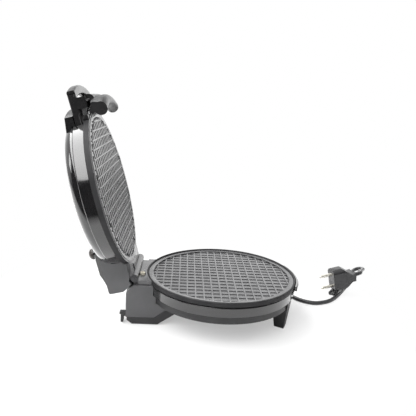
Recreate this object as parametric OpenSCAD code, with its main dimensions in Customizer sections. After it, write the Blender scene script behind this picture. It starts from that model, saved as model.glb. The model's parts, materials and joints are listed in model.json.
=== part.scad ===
// Cone waffle maker, modelled with its lid leaning open.
// Every piece is drawn in the closed, plate-centred frame: X runs from the hinge
// to the latch, Z is up from the table, and the axis of the round plates is X = Y = 0.
// The lid pieces are then swung open about the hinge axis, and everything is
// shifted along X so that the origin lies under the middle of the opened appliance.

/* [Baking plates] */
// Outer radius of both baking plates
plate_r = 100; // [95:0.5:105]
// Width of the plain rim round the waffle pattern
rim_w = 9.3; // [8:0.1:20]
// Distance from one rib of the pattern to the next
grid_pitch = 10.2; // [8:0.1:14]
// Width of a rib of the pattern
rib_w = 1.6; // [1.2:0.1:3]
// Height of the ribs above the pocket floor
rib_h = 1.3; // [1:0.1:2.6]
// Visible height of the lower plate's edge
lower_edge_h = 5.8; // [5:0.1:7]
// Visible height of the upper plate's edge
upper_edge_h = 7.5; // [6:0.1:8.5]
// Width of the raised lip round the lower plate
lip_w = 2.2; // [1.5:0.1:3]
// Height of the raised lip above the rim channel
lip_h = 1.6; // [0.8:0.1:2]
// Height of the parting plane above the table
parting_z = 59.6; // [56:0.1:64]
// Gap left between the two patterns for the batter
batter_gap = 1.2; // [0.8:0.1:2]

/* [Body] */
// Half width of the hinge blocks, the handle and the latch
block_half_w = 43.5; // [40:0.5:48]
// How far the glossy band of the base lies inside the plates' edge
base_band_in = 1.8; // [1:0.1:3]
// How far the round pan lies inside the band of the base
pan_in = 3.2; // [2.8:0.1:6]
// Height of the band's lower edge above the table
band_z = 39.9; // [37:0.1:42]
// Height of the round pan's underside above the table
pan_z = 30.3; // [27:0.1:33]
// Wall thickness of the plastic shells
shell_t = 2.5; // [2:0.1:3]
// Distance from the hinge axis to the rear wall of the base
rear_out = 9.2; // [8:0.1:12]
// Height of the seam between the rear block and its foot
foot_seam_z = 9.8; // [8:0.1:12]

/* [Lid] */
// How far the glossy band of the lid lies inside the plates' edge
lid_band_in = 3.3; // [2:0.1:5]
// Height of the lid band
lid_band_h = 14.6; // [12:0.1:16]
// Height of the domed cap above the lid band
cap_h = 11.2; // [9.4:0.1:13]
// Width of the cap's rounded shoulder
cap_round = 10.6; // [7:0.1:16]
// How far the lid leans past its closed position, in degrees
open_deg = 105.8; // [100:0.1:108]

/* [Hinge] */
// Distance from the plates' edge back to the hinge axis
hinge_out = 13.7; // [12:0.1:15]
// Radius of the hinge pin
pin_r = 2.5; // [2:0.1:3]
// Outer radius of the hinge knuckles
knuckle_r = 5.2; // [4.6:0.1:5.4]
// Running clearance between the pin and the upper knuckle
pin_clear = 0.05; // [0.02:0.01:0.1]
// Side gap between neighbouring knuckles
knuckle_gap = 0.4; // [0.3:0.1:0.8]

/* [Handle and latch] */
// Reach of the handle's curved front beyond the plates' edge
handle_out = 33; // [28:0.5:38]
// Width of the handle's bar and arms
handle_bar_w = 11; // [9:0.5:12]
// Height of the handle's section
handle_h = 9.6; // [8:0.1:11]
// Height of the handle's underside above the parting plane
handle_up = 8.4; // [8:0.1:9]
// Radius of the chrome spacers behind the handle
spacer_r = 4.4; // [3.5:0.1:4.5]
// Distance from the plates' edge to the latch pivot
latch_out = 12.5; // [11:0.1:14]
// Height of the latch pivot below the parting plane
latch_drop = 2.6; // [2:0.1:3.2]
// Radius of the latch's pivot barrel
latch_barrel_r = 6.6; // [5.5:0.1:6.8]
// Radius of the latch's hooking lobe
lobe_r = 7.6; // [6.5:0.1:8]
// Radius of the latch pin
latch_pin_r = 1.5; // [1.2:0.1:2]
// How far the latch swings out, in degrees
latch_swing = 50; // [40:1:50]

/* [Controls] */
// Radius of the thermostat knob
knob_r = 7; // [6:0.1:8]
// Height of the thermostat knob above its collar
knob_h = 6.4; // [5:0.1:8]
// Radius of the thermostat shaft
shaft_r = 2; // [1.5:0.1:2.5]
// Radius of a pilot lamp lens
lamp_r = 2.5; // [2:0.1:3]

/* [Heating and wiring] */
// How far the ring of the heating tube lies inside the plates' thick middle
element_in = 32; // [30:0.5:44]
// Radius of the heating tube
element_tube_r = 3.4; // [3:0.1:4]
// How far the heat reflectors lie inside the plates' thick middle
reflector_in = 8; // [6:0.5:14]
// Radius of the plate screws
screw_r = 2; // [1.5:0.1:2.5]
// Radius of an insulated lead
lead_r = 1.6; // [1.2:0.1:2]

/* [Feet and mains lead] */
// Height of the rubber feet
pad_h = 2; // [1.5:0.1:3]
// Radius of the rubber feet
pad_r = 5; // [4:0.1:6]
// Diameter of the mains lead
cord_d = 6; // [5.5:0.1:7]
// Width of the plug body across its two pins
plug_w = 35.5; // [34:0.5:38]
// Thickness of the plug body
plug_t = 22; // [20:0.5:25]
// Diameter of a plug pin
plug_pin_d = 4.8; // [4:0.1:4.8]
// Length of a plug pin
plug_pin_len = 19; // [18:0.5:19]
// Distance between the plug pins
plug_pin_gap = 19; // [18:0.5:19.2]

/* [Hidden] */
$fn = 64;

// Clearances and small fixed sizes
seat = 0.3;                       // gap between a piece and the seat it rests on
eps = 0.01;                       // overshoot of a cutting shape
grid_r = plate_r - rim_w;         // radius of the round waffle pattern
base_band_r = plate_r - base_band_in;            // outer radius of the base's band
pan_r = base_band_r - pan_in;     // outer radius of the round pan
lid_band_r = plate_r - lid_band_in;              // outer radius of the lid's band
cap_edge_r = lid_band_r - 2.1;    // radius of the cap where it meets the band
cap_top_r = cap_edge_r - cap_round;              // radius of the cap's flat top
hinge_back = plate_r + hinge_out; // distance from the plate axis to the hinge axis
rear_reach = hinge_back + rear_out;              // distance from there to the rear wall
handle_r = plate_r + handle_out;  // radius of the handle's curved front
latch_x = plate_r + latch_out;    // distance from the plate axis to the latch pivot
lid_z = parting_z + upper_edge_h; // lower edge of the lid band, closed
cap_z = lid_z + lid_band_h;       // lower edge of the cap, closed
lid_top = cap_z + cap_h;          // top of the cap, closed
hinge_z = parting_z + 0.6;        // height of the hinge axis
hinge_near = 6.5 - block_half_w;  // near end of the knuckle row
hinge_far = block_half_w + 1;     // far end of the knuckle row
knuckle_a = -29;                  // near end of the upper plate's knuckle
knuckle_b = 14;                   // far end of the upper plate's knuckle
tab_half = block_half_w - 2.5;    // half width of the plates' hinge tabs
core_t = 9;                       // thickness of a plate's middle, from the parting plane
core_r = plate_r - 6;             // radius of a plate's thick middle
reflector_r = core_r - reflector_in;             // outer radius of the heat reflectors
rim_gap = 52;                     // width of the gap in a reflector's rim
element_ring_r = core_r - element_in;            // radius of the heating tube's ring
well_z = parting_z - lip_h;       // floor of the lower plate's rim channel
lower_rib_z = parting_z - batter_gap / 2 - 1.4;  // rib tops of the lower pattern
upper_rib_z = lower_rib_z + batter_gap;          // rib tops of the upper pattern, closed
handle_z = parting_z + handle_up; // underside of the handle
mount_z = handle_z + handle_h + seat;            // underside of the handle mount
mount_r = plate_r + 7;            // curved front of the handle mount
mount_slope = 0.15;               // fall of the mount's top towards its front
mount_back = mount_r - 43;        // rear end of the handle mount
boss_in = 30;                     // inner face of a handle boss from the centre line
boss_x = plate_r + 4;             // rear face of a handle boss
boss_end = boss_x + 13;           // front face of a handle boss
boss_z = parting_z - 1.4;         // underside of a handle boss
spacer_y = boss_in + (block_half_w - boss_in) / 2 + 1;
spacer_z = handle_z - spacer_r - 0.1;            // axis height of the chrome spacers
spacer_len = 7.6;                 // length of a chrome spacer
latch_z = parting_z - latch_drop; // axis height of the latch pivot
lobe_x = plate_r + 0.6 + lobe_r;  // radius at which the middle of the hooking lobe runs
lobe_z = latch_z - 13.4;          // height of the hooking lobe
catch_r = plate_r + 4.2;          // front of the latch catch
catch_half = block_half_w - 3;    // half width of the latch catch
pocket_z = lower_rib_z - rib_h;   // pocket floor of the lower pattern
screw_turns = [30, 150, 270];     // directions of the three plate screws
screw_ring = 34;                  // radius at which the plate screws sit
boss_r = 5;                       // radius of the screw bosses on a plate
boss_h = 2 * element_tube_r + 1;  // height of the screw bosses on a plate
notch_y = [-22, -13];             // sides of the hinge tabs' notch for the lid's leads
notch_len = 13;                   // length of that notch from the hinge axis
foot_z = 1;                       // underside of the plastic feet, just clear of the table
foot_ring = base_band_r - 11.6;   // radius at which the front feet's rubber pads sit
heel_x = 18 - plate_r;            // front end of the rear foot's sole
block_x = 8.2 - hinge_back;       // middle of the terminal block
clamp_y = block_half_w - 14.5;    // near face of the cord clamp
slope = tan(34.5);                // rise of the pan from the rear foot to the round body
band_top = parting_z - lower_edge_h - 1.5;       // top edge of the base band
core_under = parting_z - core_t;  // underside of the lower plate's middle
core_over = parting_z + core_t;   // back of the upper plate's middle, closed
knob_at = [40 - hinge_back, -25]; // centre of the thermostat knob
block_top = lid_top + 1.8;        // top of the lid's hinge block
cover_top = block_top + 8.2;      // highest line of the control cover
cover_bend = [knob_at.x - 6.3, knob_at.x + 3.7];  // rear and front end of its steep front
seat_z = cover_top + 0.7;         // underside of the thermostat knob
lamp_z = cap_z + 5.4;             // underside of the pilot lamps
lamp_top = cover_top - 2.2;       // top of the pilot lamps
lamp_y = [6, 18];                 // where the two pilot lamps sit across the cover
bush_at = [-hinge_back + knuckle_r + 3.9, -17.5];  // middle of the lead sleeve in the notch
post_at = [12 - rear_reach, 24];                 // screw posts inside the rear casing
casing_top = parting_z - lower_edge_h - seat;    // top of the rear casing
chamfer_end = [-rear_reach, casing_top - 10.7];  // foot of the casing's rear chamfer
gap_turn = 35;                    // how far the upper heater's ends turn from the hinge
lower_dish_z = core_under - boss_h - 0.9;        // underside of the lower reflector
upper_dish_z = core_over + boss_h + 0.9;         // top of the upper reflector, closed

// The opened lid reaches furthest back at the shoulder of its cap or the front of the mount.
mount_top_z = cap_z + 4.3;
lid_edge = cap_arc(cap_top_r, cap_edge_r, cap_z, lid_top, 10);
lid_reach = max([for (p = concat([[mount_r, mount_top_z]], lid_edge))
    hinge_back - (p.x + hinge_back) * cos(open_deg) + (p.y - hinge_z) * sin(open_deg)]);
stand_x = (lid_reach - catch_r) / 2;

// Route of the lead from the strain relief to the hank, in the plate-centred frame
cord_route = [[-100, 66, 22], [-99, 78, 19.5], [-96, 91, 11], [-88, 105, 5], [-74, 117, 3.1],
    [-50, 127, 3.1], [-22, 131, 3.1], [8, 131, 3.1], [36, 127, 3.1], [62, 118, 3.1],
    [84, 103, 3.1], [100, 84, 3.1], [110, 67, 3.1], [120, 50, 3.1], [132, 40, 3.1],
    [146, 36, 3.1], [162, 41, 3.1], [175, 50.5, 3.1], [186.6, 64, 3.1]];
// The hank, three runs side by side, reaches from the first of these points to the second.
hank_a = [181.8, 67.5];
hank_b = [244.8, 161.5];
hank_w = 18.8;
hank_h = 6.1;
// Route of the short lead from the hank to the plug
tail_route = [[237, 150, 9.3], [241, 156, 9.6], [246, 162.5, 10.2], [252, 166.5, 11.4],
    [257.5, 165.5, 13.2], [260, 159.5, 15.2], [258, 151, 17.4], [252, 140, 20], [245, 128, 23],
    [238.5, 116, 26.4], [233.6, 104, 30], [231, 94.5, 32.8],
    [228.5, 88, 34.2], [224.8, 84.3, 34.4], [219.9, 83.1, 33.2]];
plug_at = [180, 77.5, 23.9];      // middle of the plug's pin face
plug_pitch = 13;                  // how far the pins dip, in degrees
plug_yaw = 8;                     // how far the plug turns from the X axis, in degrees
plug_len = 36;                    // length of the plug body without its tail
relief_at = [13.7 - hinge_back, block_half_w, 22];
relief_len = 22;

// ---- helpers ----

module stand() { translate([stand_x, 0, 0]) children(); }

// Swings a closed lid piece open about the hinge axis.
module swing() {
    translate([-hinge_back, 0, hinge_z]) rotate([0, -open_deg, 0])
        translate([hinge_back, 0, -hinge_z]) children();
}

// A side profile in X and Z, extruded across Y between two values.
module across(y0, y1) {
    translate([0, y1, 0]) rotate([90, 0, 0]) linear_extrude(height = y1 - y0) children();
}

// A radial profile turned through a sector centred on the X axis.
module sector(half) { rotate([0, 0, -half]) rotate_extrude(angle = 2 * half) children(); }

// A bar along Y with its axis at x, z.
module y_rod(x, z, r, y0, y1) {
    translate([x, y0, z]) rotate([-90, 0, 0]) cylinder(r = r, h = y1 - y0);
}

// Moves a closed outline inwards by d, corner by corner.
function line_shift(p, q, d) =
    let (v = q - p, n = [v.y, -v.x] / norm(v)) [p - n * d, v];
function cross2(a, b) = a.x * b.y - a.y * b.x;
function meet(l, m) = l[0] + l[1] * cross2(m[0] - l[0], m[1]) / cross2(l[1], m[1]);
function inset(pts, d) = [for (i = [0 : len(pts) - 1])
    let (n = len(pts), a = pts[(i + n - 1) % n], b = pts[i], c = pts[(i + 1) % n])
        meet(line_shift(a, b, d), line_shift(b, c, d))];

// Rings of a round tube swept along a list of points.
function unit(v) = v / norm(v);
function along(p, i) = unit(p[min(i + 1, len(p) - 1)] - p[max(i - 1, 0)]);
function side_of(t) = unit(cross(t, abs(t.z) > 0.9 ? [1, 0, 0] : [0, 0, 1]));
module tube(p, r, sides = 10) {
    n = len(p);
    rings = [for (i = [0 : n - 1]) let (t = along(p, i), s = side_of(t), u = cross(s, t))
        for (k = [0 : sides - 1]) p[i] + r * (s * cos(360 * k / sides) + u * sin(360 * k / sides))];
    walls = [for (i = [0 : n - 2]) for (k = [0 : sides - 1])
        let (a = i * sides + k, b = i * sides + (k + 1) % sides)
            each [[a, b, b + sides], [a, b + sides, a + sides]]];
    caps = [[for (k = [sides - 1 : -1 : 0]) k], [for (k = [0 : sides - 1]) (n - 1) * sides + k]];
    polyhedron(points = rings, faces = concat(walls, caps), convexity = 8);
}

// Points of a smooth curve through a short list of points.
function spline_at(a, b, c, d, t) = 0.5 * (2 * b + (c - a) * t + (2 * a - 5 * b + 4 * c - d) * t * t
    + (3 * b - a - 3 * c + d) * t * t * t);
function smooth(p, steps) = [for (i = [0 : len(p) - 2]) for (k = [0 : steps - 1])
    spline_at(p[max(i - 1, 0)], p[i], p[i + 1], p[min(i + 2, len(p) - 1)], k / steps)];
function smooth_route(p, steps) = concat(smooth(p, steps), [p[len(p) - 1]]);

// ---- baking plates ----

// Square rib pattern that fills the recess of a plate.
module rib_pattern() {
    count = ceil(grid_r / grid_pitch);
    intersection() {
        circle(r = grid_r + 0.5, $fn = 128);
        union() {
            for (i = [-count : count - 1]) {
                translate([(i + 0.5) * grid_pitch - rib_w / 2, -plate_r]) square([rib_w, 2 * plate_r]);
                translate([-plate_r, (i + 0.5) * grid_pitch - rib_w / 2]) square([2 * plate_r, rib_w]);
            }
        }
    }
}

// Rear tab with its row of knuckles; keeps gives the Y spans of its own knuckles.
module hinge_tab(half, z0, z1, keeps, others) {
    difference() {
        union() {
            translate([-hinge_back, -half, z0]) cube([hinge_back - core_r + 20, 2 * half, z1 - z0]);
            for (k = keeps) y_rod(-hinge_back, hinge_z, knuckle_r, k[0], k[1]);
        }
        translate([0, 0, z0 - eps]) cylinder(r = plate_r - 1, h = z1 - z0 + 2 * eps, $fn = 128);
        for (o = others) y_rod(-hinge_back, hinge_z, knuckle_r + knuckle_gap, o[0], o[1]);
    }
}

// Notch in a hinge tab, through which the leads cross from the base to the lid.
module lead_notch(z0, z1) {
    translate([-hinge_back + knuckle_r, notch_y[0], z0 - eps])
        cube([notch_len - knuckle_r, notch_y[1] - notch_y[0], z1 - z0 + 2 * eps]);
}

module lower_plate() color("#5a5a5c") stand() {
    spans = [[hinge_near, knuckle_a - knuckle_gap], [knuckle_b + knuckle_gap, hinge_far]];
    difference() {
        union() {
            rotate_extrude($fn = 128) polygon([[0, parting_z - core_t], [core_r, parting_z - core_t],
                [core_r + 1, parting_z - lower_edge_h], [plate_r - 0.6, parting_z - lower_edge_h],
                [plate_r, parting_z - lower_edge_h + 0.6], [plate_r, parting_z - 0.7],
                [plate_r - 0.7, parting_z], [plate_r - lip_w, parting_z],
                [plate_r - lip_w - 0.8, well_z], [grid_r + 0.6, well_z],
                [grid_r, well_z - 0.6], [grid_r, pocket_z], [0, pocket_z]]);
            hinge_tab(tab_half, parting_z - lower_edge_h, parting_z - 0.5, spans,
                [[knuckle_a - eps, knuckle_b + eps]]);
            translate([0, 0, pocket_z - eps]) linear_extrude(height = rib_h + eps) rib_pattern();
            for (a = screw_turns) rotate(a) translate([screw_ring, 0, parting_z - core_t - boss_h])
                cylinder(r = boss_r, h = boss_h + eps);
        }
        // the pin passes through the plate's own knuckles
        y_rod(-hinge_back, hinge_z, pin_r + 0.02, hinge_near - 1, hinge_far + 1);
        lead_notch(parting_z - lower_edge_h, parting_z);
        // the tab's near corner stays clear of the pin's end and its clip
        translate([-hinge_back - 1, -tab_half - 1, parting_z - lower_edge_h - 1])
            cube([knuckle_r + 1.5, tab_half + 1 + hinge_near, lower_edge_h + 2]);
        // small corner notch at the far end of the tab
        translate([-hinge_back + knuckle_r, tab_half - 4.5, parting_z - 3])
            cube([notch_len - knuckle_r, 5, 4]);
        for (a = screw_turns) rotate(a) translate([screw_ring, 0, parting_z - core_t - boss_h - eps])
            cylinder(r = screw_r, h = boss_h + 3);
    }
}
module upper_plate() color("#b9b9bb") stand() swing() {
    difference() {
        union() {
            rotate_extrude($fn = 128) polygon([[0, upper_rib_z + rib_h], [grid_r, upper_rib_z + rib_h],
                [grid_r, parting_z + 0.6], [grid_r + 0.6, parting_z + 0.1], [plate_r - 3.2, parting_z + 0.1],
                [plate_r - 2.6, parting_z + 0.6], [plate_r - 1, parting_z + 0.6],
                [plate_r - 0.4, parting_z + 1.2], [plate_r - 0.8, lid_z - 0.3],
                [core_r - 0.2, lid_z - 0.3], [core_r - 0.2, core_over], [0, core_over]]);
            hinge_tab(tab_half, parting_z + 0.7, lid_z - 0.3, [[knuckle_a, knuckle_b]],
                [[-tab_half - 1, knuckle_a - knuckle_gap + eps],
                 [knuckle_b + knuckle_gap - eps, hinge_far]]);
            translate([0, 0, upper_rib_z]) linear_extrude(height = rib_h + eps) rib_pattern();
            for (a = screw_turns) rotate(a) translate([screw_ring, 0, parting_z + core_t - eps])
                cylinder(r = boss_r, h = boss_h + eps);
        }
        y_rod(-hinge_back, hinge_z, pin_r + pin_clear, knuckle_a - 1, knuckle_b + 1);
        lead_notch(parting_z, lid_z);
        for (a = screw_turns) rotate(a) translate([screw_ring, 0, parting_z + core_t - 3])
            cylinder(r = screw_r, h = boss_h + 3 + eps);
    }
}

// ---- base ----

// Side outline of the rear foot and of the slope that joins it to the round pan.
function foot_outline(top) = [[1.4 - rear_reach, top], [1.4 - rear_reach, foot_z + 5],
    [8 - rear_reach, foot_z], [heel_x, foot_z], [(pan_z - foot_z) / slope + heel_x, pan_z],
    [(pan_z - foot_z) / slope + heel_x, top]];

// The slope's upper line, where the casing sits on the pan.
function seam_line() = [[-rear_reach, foot_seam_z], [heel_x - 5, foot_seam_z],
    [(pan_z + shell_t - foot_seam_z) / slope + heel_x - 5, pan_z + shell_t]];

module bottom_pan() color("#2b2b2d") stand() {
    half = block_half_w;
    difference() {
        union() {
            translate([0, 0, pan_z]) cylinder(r = pan_r, h = band_z - pan_z, $fn = 128);
            cylinder_step(pan_r - 1.8, band_z - eps, band_z + 4);
            intersection() {
                across(-half, half) polygon(foot_outline(pan_z + shell_t));
                translate([0, 0, -0.1]) across(-half, half) polygon(concat(seam_line(),
                    [[0, pan_z + shell_t], [0, 0], [-rear_reach, 0]]));
            }
        }
        cylinder_step(pan_r - 1.8 - shell_t, pan_z + shell_t, band_z + 5);
        across(shell_t - half, half - shell_t) polygon(inset(foot_outline(lid_top), shell_t));
        for (s = [-1, 1]) {
            foot_recess([12 - rear_reach, s * 33]);
            translate([post_at.x, s * post_at.y, 0]) {
                cylinder(r = 2.9, h = foot_z + 1.6);
                cylinder(r = 1.6, h = foot_seam_z);
            }
        }
    }
}

// Upright cylinder between two heights.
module cylinder_step(r, z0, z1) { translate([0, 0, z0]) cylinder(r = r, h = z1 - z0, $fn = 128); }

module foot_recess(at) { translate([at.x, at.y, 0]) cylinder(r = pad_r + 0.15, h = pad_h + 0.1); }

// Side outline of the rear casing.
function casing_outline() = concat(seam_line(), [[50 - plate_r, casing_top], [-hinge_back + 1.2, casing_top],
    [-hinge_back - 1.3, casing_top - 1.3], chamfer_end]);

module base_casing() color("#3c3c3e") stand() {
    half = block_half_w;
    difference() {
        across(-half, half) polygon(casing_outline());
        difference() {
            across(shell_t - half, half - shell_t) polygon(inset(concat([[-rear_reach, 0], [60 - plate_r, 0]],
                [for (i = [2 : len(casing_outline()) - 1]) casing_outline()[i]]), shell_t));
            // posts that take the screws from below
            for (s = [-1, 1]) translate([post_at.x, s * post_at.y, foot_z + shell_t + 0.2])
                cylinder(r = 3.6, h = casing_top);
        }
        for (s = [-1, 1]) translate([post_at.x, s * post_at.y, 0]) {
            cylinder(r = 8, h = foot_z + shell_t + 0.2);
            cylinder(r = 1.45, h = foot_z + shell_t + 10);
        }
        cylinder_step(pan_r + 0.2, pan_z - 0.2, band_z);
        cylinder_step(base_band_r + 0.2, band_z - 0.2, parting_z);
        translate(relief_at) rotate([90, 0, 0]) cylinder(r = 5.2, h = 10, center = true);
        translate([bush_at.x, bush_at.y, casing_top - 10]) cylinder(r = 3.3, h = 12);
    }
    // two ribs that stop the lid block when the lid leans open
    for (y = [-22, 16]) across(y, y + 6) polygon([[-hinge_back - 1.3, casing_top - 1.3], chamfer_end,
        chamfer_end + [-1.9, 1.6], [-hinge_back - 3.2, casing_top + 0.3]]);
}

module base_band() color("#141415") stand() {
    shelf = core_under - 0.1;
    difference() {
        rotate_extrude($fn = 128) polygon([[pan_r - 1.6, band_z + seat], [base_band_r, band_z + seat],
            [base_band_r, band_top - 0.9], [base_band_r - 0.9, band_top], [pan_r + 0.8, band_top],
            [pan_r + 0.8, shelf], [reflector_r + 2, shelf], [reflector_r + 2, shelf - 2],
            [pan_r - 1.6, shelf - 2]]);
        // opening to the rear casing
        translate([-base_band_r - 5, 6 - block_half_w, band_z - 1])
            cube([30, 2 * block_half_w - 12, shelf - 2 - band_z + 1]);
    }
}

// One front foot, from the near side; the other is its mirror image.
module front_foot() {
    difference() {
        rotate([0, 0, -31]) rotate_extrude(angle = 22, $fn = 128) polygon([[foot_ring - 6.6, foot_z],
            [base_band_r - 5, foot_z], [base_band_r - 0.4, band_z], [pan_r + 0.2, band_z],
            [pan_r + 0.2, pan_z - 0.2], [foot_ring - 10.6, pan_z - 0.2]]);
        rotate(-20) foot_recess([foot_ring, 0]);
        // the side faces lean in towards the table
        rotate(-31) translate([pan_r - 35, 4.8, 0]) rotate([7, 0, 0]) translate([0, -12, -20])
            cube([50, 12, 60]);
        rotate(-9) translate([pan_r - 35, -4.8, 0]) rotate([-7, 0, 0]) translate([0, 0, -20])
            cube([50, 12, 60]);
    }
}

module front_feet() color("#3a3a3c") stand() for (s = [0, 1]) mirror([0, s, 0]) front_foot();

module rubber_feet() color("#1c1c1c") stand() {
    for (s = [-1, 1]) {
        translate([12 - rear_reach, s * 33, 0]) cylinder(r = pad_r, h = pad_h);
        rotate(s * 20) translate([foot_ring, 0, 0]) cylinder(r = pad_r, h = pad_h);
    }
}

// Two flanged studs behind the rear foot, on which the closed appliance stands upright.
module rear_standoffs() color("#2b2b2d") stand() for (s = [-1, 1]) {
    across(s * 37 - 5, s * 37 + 5) polygon([[-rear_reach - 0.2, 13], [-rear_reach - 0.2, 14.6],
        [-rear_reach - 8, 14.6], [-rear_reach - 8, 13], [-rear_reach - 6.4, 13],
        [-rear_reach - 6.4, 2], [-rear_reach - 3, 2], [-rear_reach - 3, foot_seam_z + 0.4],
        [-rear_reach - 0.2, foot_seam_z + 0.4]]);
}

module latch_catch() color("#141415") stand() sector(asin(catch_half / catch_r))
    polygon([[base_band_r + 0.2, lobe_z + 2], [plate_r - 0.1, lobe_z + 2],
        [plate_r - 0.1, band_top - 0.2], [catch_r, band_top + 0.4], [catch_r, parting_z - 2.4],
        [catch_r - 1.4, parting_z - 1], [plate_r + 0.7, parting_z - 1], [plate_r + 0.7, band_top + 1],
        [base_band_r + 0.2, band_top + 0.2]]);

// Heat reflector: a shallow steel dish, open towards the plate.
module reflector(z, up) {
    difference() {
        rotate_extrude($fn = 128) polygon([[0, z], [reflector_r, z], [reflector_r, z + up * 6],
            [reflector_r - 0.8, z + up * 6], [reflector_r - 0.8, z + up * 0.8], [0, z + up * 0.8]]);
        for (a = screw_turns) rotate(a) translate([screw_ring, 0, z - 2]) cylinder(r = screw_r + 0.3, h = 4);
        // gap in the rim for the heater's ends
        translate([-reflector_r - 2, -rim_gap / 2, z - 8]) cube([10, rim_gap, 16]);
    }
}

// Heating tube: an open ring with two straight ends towards the hinge.
module heating_tube(z) {
    rotate([0, 0, -162]) rotate_extrude(angle = 324) translate([element_ring_r, z])
        circle(r = element_tube_r);
    for (s = [-1, 1]) rotate(s * 162) translate([element_ring_r, 0, z]) rotate([0, 90, s * 18])
        cylinder(r = element_tube_r - 1.4, h = 20);
}

module plate_screws(z, up) {
    for (a = screw_turns) rotate(a) translate([screw_ring, 0, z]) mirror([0, 0, up > 0 ? 0 : 1]) {
        translate([0, 0, -2.2]) cylinder(r = 2 * screw_r, h = 2.2);
        cylinder(r = screw_r - 0.05, h = boss_h + 1.6);
    }
}

module lower_reflector() color("#c9c9cc") stand() reflector(lower_dish_z, 1);
module lower_element() color("#8d8f92") stand() heating_tube(core_under - element_tube_r - 0.1);
module lower_plate_screws() color("#b8b8bb") stand() plate_screws(lower_dish_z - 0.1, 1);

module casing_screws() color("#b8b8bb") stand() for (s = [-1, 1]) {
    translate([post_at.x, s * post_at.y, foot_z]) {
        cylinder(r = 2.7, h = 1.5);
        cylinder(r = 1.4, h = 10);
    }
}

module terminal_block() color("#e8e4d8") stand() difference() {
    translate([block_x - 6.5, -15, foot_z + shell_t + 0.1]) cube([13, 30, 12]);
    for (y = [-10, 0, 10]) translate([block_x, y, foot_z + shell_t + 6]) cylinder(r = 2, h = 8);
}

module lower_thermal_fuse() color("#d8d2c0") stand()
    y_rod(-44, core_under - 2.3, 2.2, -8, 8);

module base_leads() color("#e6e0d0") stand() {
    socket_z = foot_z + shell_t + 6.2;
    heater_z = core_under - element_tube_r - 0.1;
    for (s = [-1, 1]) tube([[block_x + 26.2, s * 19.2, heater_z], [block_x + 21.5, s * 18.4, heater_z - 0.8],
        [block_x + 16.5, s * 16, heater_z - 5], [block_x + 11.5, s * 12.8, heater_z - 12],
        [block_x + 4.5, s * 10.4, 27], [block_x, s * 10, 21], [block_x, s * 10, socket_z]], lead_r, 8);
    // the leads that climb to the lid
    tube([[block_x, 0, socket_z], [block_x, 0, 19], [block_x + 0.2, -5, 28], [bush_at.x, -13, 37],
        [bush_at.x, bush_at.y, 46], [bush_at.x, bush_at.y, casing_top - 1]], lead_r, 8);
    // the sheath between the strain relief and the clamp
    translate([relief_at.x, clamp_y + 1, relief_at.z]) rotate([-90, 0, 0])
        cylinder(d = cord_d - 0.2, h = 8.6);
}

module cord_clamp() color("#2f2f31") stand() difference() {
    translate([relief_at.x - 7, clamp_y, foot_z + shell_t + 0.1]) cube([14, 8, relief_at.z + 3]);
    translate([relief_at.x, clamp_y - 1, relief_at.z]) rotate([-90, 0, 0]) cylinder(d = cord_d, h = 10);
}

module strain_relief() color("#1b1b1c") stand() translate(relief_at) rotate([-90, 0, 0])
    rotate_extrude() polygon([[cord_d / 2 + 0.05, -4.6], [6.4, -4.6], [6.4, -2.8], [5.05, -2.8],
        [5.05, 0.2], [6.4, 0.2], [6.4, 2], [5, 2.4], [cord_d / 2 + 0.9, relief_len - 0.6],
        [cord_d / 2 + 0.4, relief_len], [cord_d / 2 + 0.05, relief_len]]);

// Pale sleeve round the lid's leads, where they come up beside the hinge.
module harness_bush() color("#e9e3cf") stand() translate([bush_at.x, bush_at.y, casing_top])
    difference() {
        union() {
            translate([0, 0, -4.4]) cylinder(r = 3.2, h = lower_edge_h + 7);
            translate([0, 0, -shell_t - 1.9]) cylinder(r = 4.6, h = 1.6);
        }
        translate([0, 0, -6]) cylinder(r = lead_r + 0.1, h = lower_edge_h + 12);
    }

module hinge_pin() color("#a9abae") stand()
    y_rod(-hinge_back, hinge_z, pin_r, hinge_near - 2, hinge_far + 2);

module hinge_clips() color("#7c7e80") stand() for (y = [hinge_near - 0.8, hinge_far + 0.8])
    translate([-hinge_back, y, hinge_z]) rotate([90, 0, 0])
        difference() {
            cylinder(r = knuckle_r - 0.7, h = 1, center = true);
            cylinder(r = pin_r + 0.01, h = 2, center = true);
            translate([0, -5, 0]) cube([2.4, 8, 2], center = true);
        }

// ---- mains lead ----

module mains_cord() color("#161617") stand() tube(concat([relief_at - [0, 4, 0]],
    smooth_route(cord_route, 2)), cord_d / 2, 10);

// The tied hank, as its outer shape: a long outline with round ends.
module cord_hank() color("#161617") stand() translate([0, 0, 0.1]) linear_extrude(height = hank_h)
    hank_outline(hank_w);

module hank_outline(w) {
    v = hank_b - hank_a;
    translate(hank_a) rotate(atan2(v.y, v.x)) {
        translate([w / 2, -w / 2]) square([norm(v) - w, w]);
        translate([w / 2, 0]) circle(d = w);
        translate([norm(v) - w / 2, 0]) circle(d = w);
    }
}

module cord_tie() color("#0f0f10") stand() {
    v = hank_b - hank_a;
    translate(hank_a) rotate(atan2(v.y, v.x)) translate([norm(v) * 0.84, 0, 0]) difference() {
        translate([0, -hank_w / 2 - 1.4, 0.1]) cube([4, hank_w + 2.8, hank_h + 1.4]);
        translate([-1, -hank_w / 2 - 0.1, -1]) cube([6, hank_w + 0.2, hank_h + 1.2]);
    }
}

module plug_lead() color("#161617") stand() tube(tail_route, cord_d / 2, 10);

// Turns a piece from the plug's own frame: X to the lead, Y across the thickness.
module plug_place() { translate(plug_at) rotate([0, -plug_pitch, plug_yaw]) children(); }

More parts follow.
